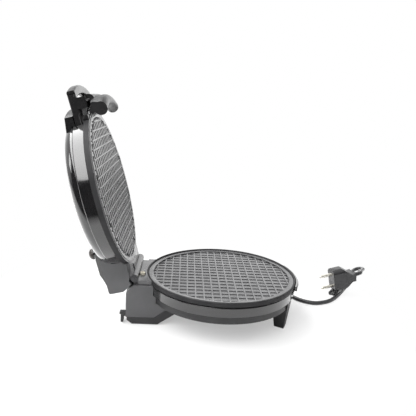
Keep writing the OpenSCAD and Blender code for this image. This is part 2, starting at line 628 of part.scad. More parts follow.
module plug_body() color("#1d1d1e") stand() plug_place() {
    half = plug_w / 2;
    nose = 5;
    intersection() {
        across(-plug_t / 2, plug_t / 2) polygon([[0, nose - half], [1.5, -half], [16, -half],
            [plug_len - 6, -cord_d], [plug_len, -cord_d], [plug_len, cord_d], [plug_len - 6, cord_d],
            [16, half], [1.5, half], [0, half - nose]]);
        rotate([90, 0, 90]) linear_extrude(height = plug_len) {
            square([plug_t, plug_w - 14], center = true);
            square([plug_t - 14, plug_w], center = true);
            for (sy = [-1, 1]) for (sz = [-1, 1])
                translate([sy * (plug_t / 2 - 7), sz * (half - 7)]) circle(r = 7);
        }
    }
    translate([plug_len - eps, 0, 0]) rotate([0, 90, 0]) cylinder(r1 = 4.8, r2 = cord_d / 2 + 0.5, h = 5);
}

module plug_pins() color("#cfcab8") stand() plug_place() for (s = [-1, 1])
    translate([0, 0, s * plug_pin_gap / 2]) rotate([0, -90, 0]) {
        translate([0, 0, 0.05]) cylinder(d = plug_pin_d, h = plug_pin_len - plug_pin_d / 2);
        translate([0, 0, plug_pin_len - plug_pin_d / 2]) sphere(d = plug_pin_d);
    }

// ---- lid, drawn closed ----

// Points on a quarter ellipse from the top of the cap down to its edge.
function cap_arc(r0, r1, z0, z1, n) = [for (i = [0 : n])
    [r0 + (r1 - r0) * sin(90 * i / n), z0 + (z1 - z0) * cos(90 * i / n)]];

// The cap's outer shape as a solid, grown by a small gap.
module cap_volume(grow) {
    rotate_extrude($fn = 128) polygon(concat([[0, cap_z - 1], [0, lid_top + 0.5 + grow]],
        cap_arc(cap_top_r, cap_edge_r + grow, cap_z, lid_top + grow, 10),
        [[cap_edge_r + grow, cap_z - 1]]));
}

module lid_band() color("#141415") stand() swing() difference() {
    rotate_extrude($fn = 128) polygon([[lid_band_r - shell_t, lid_z], [lid_band_r - 0.6, lid_z],
        [lid_band_r, lid_z + 0.6], [lid_band_r, cap_z - 1.6], [lid_band_r - 0.8, cap_z - 0.6],
        [lid_band_r - shell_t, cap_z - 0.6]]);
    // opening to the hinge block
    translate([-lid_band_r - 2, 6 - block_half_w, lid_z + 2.5])
        cube([30, 2 * block_half_w - 12, lid_band_h - 6]);
}

module lid_cap() color("#19191a") stand() swing() difference() {
    rotate_extrude($fn = 128) polygon(concat([[0, lid_top + 0.5 - shell_t], [0, lid_top + 0.5]],
        cap_arc(cap_top_r, cap_edge_r, cap_z, lid_top, 10),
        [[cap_edge_r, cap_z - 0.4], [cap_edge_r - shell_t, cap_z - 0.4]],
        [for (i = [10 : -1 : 0]) let (p = cap_arc(cap_top_r - 1, cap_edge_r - shell_t, cap_z,
            lid_top - shell_t, 10)[i]) p]));
    translate([knob_at.x, knob_at.y, lid_top - 5]) cylinder(r = shaft_r + 1.4, h = 8);
    for (y = lamp_y) translate([knob_at.x, y, lid_top - 5]) cylinder(r = lamp_r + 0.1, h = 8);
}

// Side outline of the lid's hinge block, from the hinge axis.
function block_outline(low) = [[-4.3, low + 0.8], [33.7, low], [33.7, block_top],
    [-9.7, block_top], [-11.5, block_top - 1.6], [-12.1, low + 14], [-10.9, low + 10.8]];

module lid_block() color("#3c3c3e") stand() swing() {
    half = block_half_w;
    low = parting_z + 3.8;
    difference() {
        translate([-hinge_back, 0, 0]) across(-half, half) polygon(block_outline(low));
        translate([-hinge_back, 0, 0]) across(shell_t - half, half - shell_t)
            polygon([[shell_t - 3.5, low - 4], [43.7, low - 4], [43.7, block_top - 2.6],
                [-8.9, block_top - 2.6], [-9.5, low + 13.4], [-8.3, low + 10],
                [shell_t - 3.5, low + 2.6]]);
        cylinder_step(plate_r + 0.1, parting_z, lid_z);
        cylinder_step(lid_band_r + 0.2, parting_z, cap_z);
        cap_volume(0.25);
        y_rod(-hinge_back, hinge_z, knuckle_r + 0.6, -half - 6.5, half + 6.5);
        for (y = [knob_at.y, lamp_y[0], lamp_y[1]]) translate([knob_at.x, y, lid_top - 5])
            cylinder(r = 6, h = 10);
    }
}

// Domed cover over the block, with the seat of the knob and the lamp holes.
module control_cover() color("#2a2a2c") stand() swing() {
    half = block_half_w - 8;
    under = block_top + 0.2;
    rear = -hinge_back;           // the cover's line is drawn from the hinge axis
    front = rear + 54.7;          // foot of its steep front
    crown = 300;
    difference() {
        union() {
            intersection() {
                across(-half, half) polygon([[rear - 6.3, under], [front, under], [front - 1, under + 1],
                    [cover_bend[1], cover_top - 5.6], [cover_bend[0], cover_top - 1.2],
                    [rear + 29.7, cover_top], [rear + 21.7, cover_top], [rear + 13.7, cover_top - 1.4],
                    [rear + 7.7, cover_top - 3.6], [rear - 3.3, under + 1.6]]);
                translate([rear - 26.3, 0, cover_top + 0.6 - crown]) rotate([0, 90, 0])
                    cylinder(r = crown, h = 100, $fn = 192);
            }
            translate([knob_at.x, knob_at.y, under]) cylinder(r = knob_r - 0.8, h = seat_z - seat - under);
            // skirt that closes the step down to the cap
            difference() {
                across(-half, half) polygon([[rear + 34, lid_top + 0.35], [front, lid_top + 0.45],
                    [front, under + eps], [rear + 34, under + eps]]);
                across(shell_t - half, half - shell_t) polygon([[rear + 23.7, lid_top - 1],
                    [front - shell_t, lid_top - 1], [front - shell_t, under + 1],
                    [rear + 23.7, under + 1]]);
            }
        }
        across(shell_t - half, half - shell_t) polygon([[rear - 0.3, under - 1],
            [front - 1 - shell_t, under - 1], [cover_bend[1], cover_top - 8.2],
            [rear + 29.7, cover_top - 3], [rear + 21.7, cover_top - 3], [rear + 7.7, under + 2]]);
        translate([knob_at.x, knob_at.y, under - 5]) cylinder(r = shaft_r + 0.06, h = 20);
        for (y = lamp_y) translate([knob_at.x, y, under - 5]) cylinder(r = lamp_r + 0.1, h = 20);
    }
}

// Wide raised block on the front of the cap, over the root of the handle.
module handle_mount() color("#161617") stand() swing() difference() {
    intersection() {
        across(-block_half_w, block_half_w) polygon([[mount_back, mount_z], [mount_r, mount_z],
            [mount_r, mount_top_z], [mount_back, mount_top_z + mount_slope * (mount_r - mount_back)]]);
        cylinder_step(mount_r, mount_z - 1, lid_top + 8);
    }
    cylinder_step(lid_band_r + 0.2, parting_z, cap_z);
    cap_volume(0.2);
}

module round_bar(w, h, r) {
    square([w - 2 * r, h], center = true);
    square([w, h - 2 * r], center = true);
    for (sx = [-1, 1]) for (sy = [-1, 1]) translate([sx * (w / 2 - r), sy * (h / 2 - r)]) circle(r = r);
}

// Bow handle: a curved front bar, two arms and the two bosses that hold the latch.
module handle() color("#161617") stand() swing() difference() {
    mid_z = handle_z + handle_h / 2;
    bar_mid = handle_r - handle_bar_w / 2;
    arm_y = block_half_w - handle_bar_w / 2;
    arm_x = plate_r - 20;         // rear end of the arms, before the plate's edge cuts them
    union() {
        intersection() {
            sector(atan2(block_half_w, bar_mid)) translate([bar_mid, mid_z])
                round_bar(handle_bar_w, handle_h, 2.5);
            across(-block_half_w, block_half_w) square([handle_r + 5, lid_top]);
        }
        for (s = [-1, 1]) {
            translate([arm_x, s * arm_y, mid_z]) rotate([90, 0, 90])
                linear_extrude(height = sqrt(pow(handle_r - 4, 2) - pow(block_half_w, 2)) - arm_x)
                    round_bar(handle_bar_w, handle_h, 2.5);
            translate([boss_x, s > 0 ? boss_in : -block_half_w, boss_z])
                cube([boss_end - boss_x, block_half_w - boss_in, handle_z + 3 - boss_z]);
            // foot of the arm, against the edge of the plate
            translate([arm_x + 5, s * spacer_y - spacer_r, parting_z + 1])
                cube([boss_x - spacer_len - 0.2 - arm_x - 5, 2 * spacer_r, handle_z + 3 - parting_z - 1]);
        }
    }
    cylinder_step(plate_r - 0.1, parting_z - 5, lid_z);
    cylinder_step(lid_band_r + 0.2, parting_z, lid_top);
    y_rod(latch_x, latch_z, latch_pin_r + 0.02, -block_half_w + 3, block_half_w - 3);
}

module handle_spacers() color("#d6d7d9") stand() swing() for (s = [-1, 1])
    translate([boss_x - spacer_len - 0.1, s * spacer_y, spacer_z]) rotate([0, 90, 0])
        cylinder(r = spacer_r, h = spacer_len);

module upper_reflector() color("#c9c9cc") stand() swing() difference() {
    rotate(-gap_turn) reflector(upper_dish_z, -1);
    for (a = screw_turns) rotate(a) translate([screw_ring, 0, upper_dish_z - 2])
        cylinder(r = screw_r + 0.3, h = 4);
    translate([knob_at.x, knob_at.y, upper_dish_z - 8]) cylinder(r = 12.6, h = 16);
}
module upper_element() color("#8d8f92") stand() swing() rotate(-gap_turn)
    heating_tube(core_over + element_tube_r + 0.1);
module upper_plate_screws() color("#b8b8bb") stand() swing() plate_screws(upper_dish_z + 0.1, -1);

module thermostat() color("#c8bfa4") stand() swing() translate([knob_at.x, knob_at.y, core_over + 0.1])
    difference() {
        union() {
            cylinder(r = 10.5, h = 9);
            cylinder(r = 4.5, h = 17);
        }
        translate([0, 0, 7]) cylinder(r = shaft_r + 0.06, h = 11);
    }

module pilot_lamps() color("#8c2a20") stand() swing() for (y = lamp_y)
    translate([knob_at.x, y, lamp_z])
        cylinder(r = lamp_r, h = lamp_top - lamp_z);

module lid_leads() color("#e6e0d0") stand() swing() {
    heater_z = core_over + element_tube_r + 0.1;
    tube([[bush_at.x, bush_at.y, parting_z + 9.6], [knob_at.x - 30.3, -18, core_over + 3.2],
        [knob_at.x - 27.3, -20, core_over + 5.6], [knob_at.x - 21.3, -23, core_over + 6.3],
        [knob_at.x - 15.8, -24.8, core_over + 6.1], [knob_at.x - 10.8, -25, core_over + 6.1]], lead_r, 8);
    tube([[knob_at.x - 2.3, 29.9, heater_z], [knob_at.x - 6.3, 31, heater_z + 1.4],
        [knob_at.x - 11.3, 29, core_over + 8.4], [knob_at.x - 12.8, 23, core_over + 13.4],
        [knob_at.x - 8.3, 18.5, lamp_z - 2.1], [knob_at.x - 3.3, lamp_y[1], lamp_z - 1.9]], lead_r, 8);
}

module upper_thermal_fuse() color("#d8d2c0") stand() swing() y_rod(-44, core_over + 2.3, 2.2, -8, 8);

// ---- latch and knob ----

module latch_pin() color("#b4b6b8") stand() swing()
    y_rod(latch_x, latch_z, latch_pin_r, -block_half_w + 3.2, block_half_w - 3.2);

module latch() color("#161617") stand() swing() difference() {
    top = boss_z - 0.4;
    union() {
        intersection() {
            sector(24) {
                translate([lobe_x, lobe_z]) circle(r = lobe_r);
                polygon([[catch_r + 1.2, lobe_z + 2], [lobe_x + lobe_r - 1.6, lobe_z - 4],
                    [latch_x + 4.6, latch_z - 6], [latch_x + 4.2, latch_z - 3.4],
                    [latch_x, latch_z - 2.4], [latch_x - 3.5, top], [catch_r + 1.2, top]]);
            }
            across(0.5 - block_half_w, block_half_w - 0.5) square([latch_x + 37.5, lid_top]);
        }
        y_rod(latch_x, latch_z, latch_barrel_r, 0.4 - boss_in, boss_in - 0.4);
    }
    y_rod(latch_x, latch_z, latch_pin_r + 0.05, -boss_in - 30, boss_in + 30);
    // room for the handle's bosses beside the barrel
    for (s = [-1, 1]) translate([boss_x - 12, s > 0 ? boss_in - 0.4 : -60, boss_z - 0.4])
        cube([40, 60 - boss_in + 0.4, 12]);
}

module thermostat_knob() color("#2c2724") stand() swing()
    translate([knob_at.x, knob_at.y, seat_z]) {
        rotate_extrude() polygon(concat([[0, 0], [knob_r, 0]],
            [for (i = [0 : 8]) [knob_r * cos(90 * i / 8), knob_h * (0.25 + 0.75 * sin(90 * i / 8))]]));
        translate([0, 0, core_over + 8.5 - seat_z]) cylinder(r = shaft_r, h = seat_z - core_over - 7.5);
    }

bottom_pan();
base_casing();
base_band();
front_feet();
rubber_feet();
rear_standoffs();
latch_catch();
lower_plate();
lower_reflector();
lower_element();
lower_plate_screws();
casing_screws();
terminal_block();
lower_thermal_fuse();
base_leads();
cord_clamp();
strain_relief();
harness_bush();
hinge_pin();
hinge_clips();
mains_cord();
cord_hank();
cord_tie();
plug_lead();
plug_body();
plug_pins();
upper_plate();
lid_band();
lid_cap();
lid_block();
control_cover();
handle_mount();
handle();
handle_spacers();
upper_reflector();
upper_element();
upper_plate_screws();
thermostat();
pilot_lamps();
lid_leads();
upper_thermal_fuse();
latch_pin();
latch();
thermostat_knob();
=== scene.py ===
# %% [markdown]
# # A cone waffle maker with its lid open
# The exact model comes first: every moving piece already sits in its place, in metres,
# and each object made below is dressed over one of its nodes or rides on one of its
# bodies.

# %% Load the frame
import json
from math import atan2, cos, pi, radians, sin, sqrt

import bmesh
import bpy
from mathutils import Matrix, Vector


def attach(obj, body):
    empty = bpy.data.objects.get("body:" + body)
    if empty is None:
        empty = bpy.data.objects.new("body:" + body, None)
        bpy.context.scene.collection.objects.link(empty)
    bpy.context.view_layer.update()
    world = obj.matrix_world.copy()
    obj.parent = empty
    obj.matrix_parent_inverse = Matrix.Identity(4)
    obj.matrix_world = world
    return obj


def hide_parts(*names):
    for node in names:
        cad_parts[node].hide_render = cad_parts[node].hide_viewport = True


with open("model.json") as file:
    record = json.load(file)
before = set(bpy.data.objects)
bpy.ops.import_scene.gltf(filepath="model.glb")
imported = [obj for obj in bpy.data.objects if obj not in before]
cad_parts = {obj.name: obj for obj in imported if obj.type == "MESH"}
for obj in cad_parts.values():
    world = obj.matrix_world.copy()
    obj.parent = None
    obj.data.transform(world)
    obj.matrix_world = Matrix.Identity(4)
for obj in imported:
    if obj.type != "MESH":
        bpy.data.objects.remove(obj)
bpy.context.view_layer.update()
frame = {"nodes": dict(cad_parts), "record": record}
NODES = frame["nodes"]
BODY_OF = {node: body for body, names in frame["record"]["behaviour"]["bodies"].items()
           for node in names}
SLOT_OF = {row["node"]: row["material_slot"] for row in frame["record"]["subparts"]}

# %% [markdown]
# ## The camera
# The camera stands a little above the table and looks across the hinge, from where both
# plates are seen. Aiming it at a target would fix its tilt but not its roll, so its place
# is given as a point and three angles: turn, tilt and a small roll. The lens is in
# millimetres, on a sensor 36 mm wide.

# %% Camera
MM = 0.001
SHIFT_X = 47.5794 * MM               # from the plates' axis to the origin of the exact model
CAMERA_AT = Vector((-56.6 * MM + SHIFT_X, -603.7 * MM, 289.9 * MM))
TURN, TILT, ROLL = radians(-3.17), radians(13.21), radians(3.44)
SENSOR, LENS = 36.0, 40.88


def camera_matrix(at, turn, tilt, roll):
    """The camera looks along minus back; the roll leans it over to one side."""
    back = Vector((sin(turn) * cos(tilt), -cos(turn) * cos(tilt), sin(tilt)))
    right = Vector((cos(turn), sin(turn), 0.0))
    up = back.cross(right)
    x_axis = right * cos(roll) + up * sin(roll)
    y_axis = up * cos(roll) - right * sin(roll)
    turn_matrix = Matrix((x_axis, y_axis, back)).transposed().to_4x4()
    return Matrix.Translation(at) @ turn_matrix


camera_data = bpy.data.cameras.new("camera")
camera_data.sensor_width = SENSOR
camera_data.lens = LENS
camera_data.clip_end = 20.0
camera = bpy.data.objects.new("camera", camera_data)
camera.matrix_world = camera_matrix(CAMERA_AT, TURN, TILT, ROLL)
bpy.context.scene.collection.objects.link(camera)
bpy.context.scene.camera = camera
print("camera at", tuple(round(v, 3) for v in camera.location))

# %% [markdown]
# ## Shader groups
# Real finishes are never one flat value. Three small groups give the effects that several
# finishes share: the fine grain that a spark-eroded mould leaves, the smudges of handling,
# and the thin dust that settles on what faces up. Each group only gives out masks and
# heights; the shader that uses them stays in the material.


# %% Helpers for node trees
def new_group(name, inputs, outputs):
    """An empty group with named number sockets on both sides."""
    tree = bpy.data.node_groups.new(name, "ShaderNodeTree")
    for label, value in inputs:
        socket = tree.interface.new_socket(label, in_out="INPUT", socket_type="NodeSocketFloat")
        socket.default_value = value
    for label in outputs:
        tree.interface.new_socket(label, in_out="OUTPUT", socket_type="NodeSocketFloat")
    return tree, tree.nodes.new("NodeGroupInput"), tree.nodes.new("NodeGroupOutput")


def add(tree, kind, **settings):
    """A new node with some of its inputs set."""
    node = tree.nodes.new(kind)
    for key, value in settings.items():
        node.inputs[key].default_value = value
    return node


def maths(tree, operation, a, b):
    """One sum of two numbers, each given as a number or as the output of a node."""
    node = tree.nodes.new("ShaderNodeMath")
    node.operation = operation
    for socket, value in zip(node.inputs, (a, b)):
        if isinstance(value, (int, float)):
            socket.default_value = value
        else:
            tree.links.new(value, socket)
    return node.outputs[0]


def spread(tree, value, low, high, to_low=0.0, to_high=1.0):
    """Stretches the span from low to high onto another span, and clips what lies outside."""
    node = tree.nodes.new("ShaderNodeMapRange")
    tree.links.new(value, node.inputs["Value"])
    ends = {"From Min": low, "From Max": high, "To Min": to_low, "To Max": to_high}
    for label, number in ends.items():
        node.inputs[label].default_value = number
    return node.outputs["Result"]


def spread_between(tree, mask, low, high):
    """Mask 0 gives the number low, mask 1 gives the value high."""
    rest = maths(tree, "MULTIPLY", maths(tree, "SUBTRACT", 1.0, mask), low)
    return maths(tree, "ADD", maths(tree, "MULTIPLY", mask, high), rest)


def noise(tree, coords, scale, detail=3.0, roughness=0.5):
    node = add(tree, "ShaderNodeTexNoise", Detail=detail, Roughness=roughness)
    tree.links.new(coords, node.inputs["Vector"])
    if isinstance(scale, (int, float)):
        node.inputs["Scale"].default_value = scale
    else:
        tree.links.new(scale, node.inputs["Scale"])
    return node.outputs[0]


print("node helpers ready")


# %% Mould grain
def make_grain():
    """Fine grain as a height, and broad soft patches as a tone."""
    tree, given, out = new_group("mould grain", [("Scale", 2200.0)], ["Height", "Tone"])
    coords = tree.nodes.new("ShaderNodeTexCoord").outputs["Object"]
    fine = noise(tree, coords, given.outputs["Scale"], 2.0, 0.6)
    broad = noise(tree, coords, 55.0, 2.0, 0.5)
    tree.links.new(fine, out.inputs["Height"])
    tree.links.new(spread(tree, broad, 0.3, 0.7), out.inputs["Tone"])
    return tree


GRAIN = make_grain()
print("shader group:", GRAIN.name)


# %% Handling smudges
def make_smudges():
    """Greasy patches with finer streaks in them, which dull the shine a little."""
    tree, given, out = new_group("handling smudges", [("Base", 0.1), ("Amount", 0.08)],
                                 ["Roughness"])
    coords = tree.nodes.new("ShaderNodeTexCoord").outputs["Object"]
    patches = spread(tree, noise(tree, coords, 38.0, 4.0, 0.62), 0.46, 0.72)
    streaks = spread(tree, noise(tree, coords, 420.0, 2.0, 0.5), 0.35, 0.75, 0.6, 1.0)
    marks = maths(tree, "MULTIPLY", patches, streaks)
    marks = maths(tree, "MULTIPLY", marks, given.outputs["Amount"])
    tree.links.new(maths(tree, "ADD", marks, given.outputs["Base"]), out.inputs["Roughness"])
    return tree


SMUDGES = make_smudges()
print("shader group:", SMUDGES.name)


# %% Settled dust
def make_dust():
    """Specks on the surfaces that face up."""
    tree, given, out = new_group("settled dust", [("Amount", 0.05)], ["Mask"])
    coords = tree.nodes.new("ShaderNodeTexCoord").outputs["Object"]
    normal = tree.nodes.new("ShaderNodeNewGeometry").outputs["Normal"]
    split = tree.nodes.new("ShaderNodeSeparateXYZ")
    tree.links.new(normal, split.inputs[0])
    facing_up = spread(tree, split.outputs["Z"], 0.2, 1.0)
    specks = spread(tree, noise(tree, coords, 900.0, 3.0, 0.7), 0.5, 0.75)
    mask = maths(tree, "MULTIPLY", facing_up, specks)
    tree.links.new(maths(tree, "MULTIPLY", mask, given.outputs["Amount"]), out.inputs["Mask"])
    return tree


DUST = make_dust()
print("shader group:", DUST.name)


# %% [markdown]
# ## Finishes
# One function builds every plastic, rubber and coated finish from the same parts, with its
# own values: two close tones of the colour, a roughness with smudges, a bump from the
# grain, and a little dust. The metals use it too, with the Metallic value at one.


# %% The finish builder
def use_group(tree, group, **values):
    """A node that stands for one of the groups, with its inputs set."""
    node = tree.nodes.new("ShaderNodeGroup")
    node.node_tree = group
    for key, value in values.items():
        node.inputs[key].default_value = value
    return node


def mix_colour(tree, mask, first, second):
    """The first colour where the mask is 0, and the second where it is 1."""
    node = tree.nodes.new("ShaderNodeMix")
    node.data_type = "RGBA"
    tree.links.new(mask, node.inputs[0])
    for socket, value in ((node.inputs[6], first), (node.inputs[7], second)):
        if isinstance(value, tuple):
            socket.default_value = (*value, 1.0)
        else:
            tree.links.new(value, socket)
    return node.outputs[2]


DUST_COLOUR = (0.55, 0.54, 0.52)


def finish(name, colour, second, rough, smudge, grain_scale, grain_depth, dust=0.04, metal=0.0,
           specular=0.5, coat=0.0, coat_rough=0.05):
    """One material: two close tones, smudged roughness, a bump of grain and some dust."""
    material = bpy.data.materials.new(name)
    material.use_nodes = True
    tree = material.node_tree
    shader = tree.nodes["Principled BSDF"]
    grain = use_group(tree, GRAIN, Scale=grain_scale)
    tone = mix_colour(tree, grain.outputs["Tone"], colour, second)
    dusty = use_group(tree, DUST, Amount=dust)
    tree.links.new(mix_colour(tree, dusty.outputs["Mask"], tone, DUST_COLOUR),
                   shader.inputs["Base Color"])
    smudged = use_group(tree, SMUDGES, Base=rough, Amount=smudge)
    tree.links.new(smudged.outputs["Roughness"], shader.inputs["Roughness"])
    bump = add(tree, "ShaderNodeBump", Strength=1.0, Distance=grain_depth)
    tree.links.new(grain.outputs["Height"], bump.inputs["Height"])
    tree.links.new(bump.outputs["Normal"], shader.inputs["Normal"])
    shader.inputs["Metallic"].default_value = metal
    shader.inputs["Specular IOR Level"].default_value = specular
    shader.inputs["Coat Weight"].default_value = coat
    shader.inputs["Coat Roughness"].default_value = coat_rough
    return material


print("finish builder ready")

# %% [markdown]
# ## Plastics and rubber
# The shells are moulded and lacquered, so they get a clear coat over a near-black colour.
# The handle is satin and the latch nearly matt, which keeps the hand from slipping, and
# the grey casings have the fine spark-eroded grain of a mould.

# %% Plastics and rubber
FINISHES = {
    "gloss_black": finish("gloss black shell", (0.006, 0.006, 0.0065), (0.01, 0.0095, 0.01),
                          rough=0.12, smudge=0.06, grain_scale=160.0, grain_depth=0.000006,
                          dust=0.006, specular=0.5, coat=0.7, coat_rough=0.07),
    "handle_black": finish("satin black handle", (0.008, 0.008, 0.0085), (0.013, 0.0125, 0.013),
                           rough=0.26, smudge=0.08, grain_scale=900.0, grain_depth=0.000008,
                           dust=0.01, specular=0.22),
    "latch_black": finish("matt black latch", (0.012, 0.012, 0.0125), (0.018, 0.0175, 0.018),
                          rough=0.34, smudge=0.06, grain_scale=900.0, grain_depth=0.000004,
                          dust=0.005, specular=0.16),
    "satin_grey": finish("satin grey casing", (0.054, 0.054, 0.0565), (0.068, 0.068, 0.071),
                         rough=0.36, smudge=0.08, grain_scale=2600.0, grain_depth=0.00002,
                         dust=0.05),
    "dark_pan": finish("dark pan", (0.009, 0.009, 0.0098), (0.014, 0.014, 0.015),
                       rough=0.42, smudge=0.1, grain_scale=2200.0, grain_depth=0.00003,
                       dust=0.05),
    "rubber_black": finish("foot rubber", (0.02, 0.02, 0.02), (0.035, 0.035, 0.035),
                           rough=0.75, smudge=0.05, grain_scale=900.0, grain_depth=0.00005),
}
print("plastics:", ", ".join(FINISHES))

# %% [markdown]
# ## The coating of the cast plates
# The plates are cast aluminium with a grey non-stick coating. Three finishes share it:
# the coating itself, the rib tops painted paler, partly as wear and partly as a painted
# highlight of their lit tops, and the rougher lip and edge, painted darker as shade.

# %% Cast plates
FINISHES["cast_plate"] = finish(
    "coated cast plate", (0.064, 0.064, 0.066), (0.082, 0.082, 0.085), rough=0.24, smudge=0.08,
    grain_scale=3200.0, grain_depth=0.000006, dust=0.012, specular=0.36)
# rib tops painted paler: partly wear, partly a painted highlight of the tops that face the light
FINISHES["rib_top"] = finish(
    "rib top, wear and painted highlight", (0.1, 0.1, 0.103), (0.135, 0.135, 0.138), rough=0.3, smudge=0.08,
    grain_scale=3200.0, grain_depth=0.000006, dust=0.012, specular=0.3)
# lip, edge and pattern wall: rougher, and painted darker as shade of the channel and walls
FINISHES["plate_rim"] = finish(
    "rough cast rim, painted shade", (0.018, 0.018, 0.019), (0.027, 0.027, 0.028), rough=0.5, smudge=0.08,
    grain_scale=2400.0, grain_depth=0.00001, dust=0.008, specular=0.12)
print("finishes so far:", len(FINISHES))

# %% [markdown]
# ## Metals and small parts
# Bare metal has no colour of its own under the shine, so the Metallic value is one and
# the base colour tints the reflection. The small parts inside only need their own tone.

# %% Metals
METALS = {
    "steel": ("plated steel", (0.52, 0.52, 0.53), (0.6, 0.6, 0.6), 0.3, 0.15, 1500.0, 0.00001,
              0.04),
    "dark_steel": ("blackened steel", (0.05, 0.05, 0.052), (0.075, 0.075, 0.078), 0.28, 0.12,
                   1500.0, 0.00001, 0.0),
    "chrome": ("chrome", (0.82, 0.82, 0.84), (0.88, 0.88, 0.89), 0.2, 0.04, 300.0, 0.000004,
               0.0),
    "heater": ("heater sheath", (0.2, 0.19, 0.19), (0.3, 0.29, 0.28), 0.45, 0.15, 1200.0,
               0.00003, 0.04),
}
for slot, values in METALS.items():
    FINISHES[slot] = finish(*values, metal=1.0)
print("metals:", ", ".join(METALS))

# %% Small parts
FINISHES["cream"] = finish(
    "woven sleeve", (0.72, 0.67, 0.54), (0.8, 0.76, 0.66), rough=0.8, smudge=0.1,
    grain_scale=1300.0, grain_depth=0.0002)
FINISHES["cord_black"] = finish(
    "cord vinyl", (0.016, 0.016, 0.017), (0.024, 0.024, 0.026), rough=0.34, smudge=0.12,
    grain_scale=700.0, grain_depth=0.00004)
FINISHES["pin_nickel"] = finish(
    "pin nickel", (0.74, 0.71, 0.62), (0.82, 0.8, 0.74), rough=0.2, smudge=0.12,
    grain_scale=900.0, grain_depth=0.00001, metal=1.0)
FINISHES["ceramic"] = finish(
    "ceramic", (0.78, 0.76, 0.7), (0.85, 0.83, 0.78), rough=0.55, smudge=0.1,
    grain_scale=900.0, grain_depth=0.00003)
FINISHES["lamp"] = finish(
    "lamp lens", (0.3, 0.02, 0.015), (0.4, 0.03, 0.02), rough=0.12, smudge=0.05,
    grain_scale=400.0, grain_depth=0.00001)
FINISHES["knob_brown"] = finish(
    "knob", (0.02, 0.016, 0.014), (0.03, 0.024, 0.02), rough=0.28, smudge=0.1,
    grain_scale=1600.0, grain_depth=0.00002)
print("finishes:", ", ".join(FINISHES))

# %% [markdown]
# ## The mains lead
# A lead is one fixed length of something flexible. It leaves the base at the far side,
# drops to the table, runs round the back in a loose curve and ends in a tied hank of
# three runs; its last stretch rises to the plug, which lies on the hank. It could be a
# swept mesh, but a curve with a round bevel keeps its width in every bend. The points,
# in millimetres from the plates' axis, repeat the route of the exact model.

# %% Route of the lead
LEAD_D = 6.0 * MM
ROUTE = [(-100, 65.5, 22), (-99, 78, 19.5), (-96, 91, 11), (-88, 105, 5), (-74, 117, 3.1),
         (-50, 127, 3.1), (-22, 131, 3.1), (8, 131, 3.1), (36, 127, 3.1), (62, 118, 3.1),
         (84, 103, 3.1), (100, 84, 3.1), (110, 67, 3.1), (120, 50, 3.1), (132, 40, 3.1),
         (146, 36, 3.1), (162, 41, 3.1), (175, 50.5, 3.1)]
TAIL = [(246, 162.5, 10.2), (252, 166.5, 11.4), (257.5, 165.5, 13.2), (260, 159.5, 15.2),
        (258, 151, 17.4), (252, 140, 20), (245, 128, 23), (238.5, 116, 26.4), (233.6, 104, 30),
        (231, 94.5, 32.8), (228.5, 88, 34.2), (224.8, 84.3, 34.4), (219.9, 83.1, 33.2)]
HANK_A, HANK_B = Vector((181.8, 67.5, 0)), Vector((244.8, 161.5, 0))
RUN_GAP = 6.2                        # distance between the middles of two runs
RUN_HEIGHT = 3.15                    # middle of a run above the table
FOLD = 9.4                           # from the ends of the hank to where its folds start
STEPS = 6                            # points of the smooth curve between two given ones
hank_dir = (HANK_B - HANK_A).normalized()
hank_left = Vector((-hank_dir.y, hank_dir.x, 0))
HANK_LEN = (HANK_B - HANK_A).length


def in_hank(along, side, height):
    """A point so far along the hank, to its left, and above the table."""
    point = HANK_A + hank_dir * along + hank_left * side
    return (point.x, point.y, height)


def hank_runs():
    """The three runs of the hank and the two folds between them."""
    far, near, low, middle = HANK_LEN - FOLD, FOLD, RUN_HEIGHT, HANK_LEN * 0.5
    points = [in_hank(8, -RUN_GAP, low), in_hank(middle, -RUN_GAP, low),
              in_hank(far, -RUN_GAP, low)]
    for k in range(1, 6):            # the wide fold at the far end
        a = pi * (0.5 - k / 6)
        points.append(in_hank(far + RUN_GAP * cos(a), -RUN_GAP * sin(a), low))
    points += [in_hank(far, RUN_GAP, low), in_hank(middle, RUN_GAP, low),
               in_hank(near, RUN_GAP, low)]
    for k in range(1, 4):            # the narrow fold at the near end
        a = pi * k / 4
        points.append(in_hank(near - 0.5 * RUN_GAP * sin(a), 0.5 * RUN_GAP * (1 + cos(a)), low))
    points += [in_hank(near, 0, low), in_hank(middle, 0, low),
               in_hank(far - 14, 0, low + 0.2), in_hank(far - 6, 0, low + 3.2),
               in_hank(far + 1, 0, 9.2)]
    return points


def smooth_path(points, steps):
    """Points of a Catmull-Rom curve through the given ones."""
    p = [Vector(q) for q in points]
    found = []
    for i in range(len(p) - 1):
        a, b, c, d = p[max(i - 1, 0)], p[i], p[i + 1], p[min(i + 2, len(p) - 1)]
        for k in range(steps):
            t = k / steps
            found.append(0.5 * (2 * b + (c - a) * t + (2 * a - 5 * b + 4 * c - d) * t * t
                                + (3 * b - a - 3 * c + d) * t * t * t))
    return found + [p[-1]]


lead_path = [(q * MM) + Vector((SHIFT_X, 0, 0))
             for q in smooth_path(ROUTE + hank_runs() + TAIL, STEPS)]


# %% The lead as a curve
def tube_curve(name, path, radius, material):
    """A round tube of one radius along a path of points."""
    data = bpy.data.curves.new(name, "CURVE")
    data.dimensions = "3D"
    spline = data.splines.new("POLY")
    spline.points.add(len(path) - 1)
    for point, place in zip(spline.points, path):
        point.co = (*place, 1.0)
    data.bevel_depth = radius
    data.bevel_resolution = 5
    data.use_fill_caps = True
    data.materials.append(material)
    obj = bpy.data.objects.new(name, data)
    bpy.context.scene.collection.objects.link(obj)
    return obj


lead = tube_curve("mains_lead", lead_path, LEAD_D / 2, FINISHES["cord_black"])
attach(lead, "base")
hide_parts("mains_cord", "cord_hank", "plug_lead")
print("lead:", lead.name, "with", len(lead_path), "points on its curve")

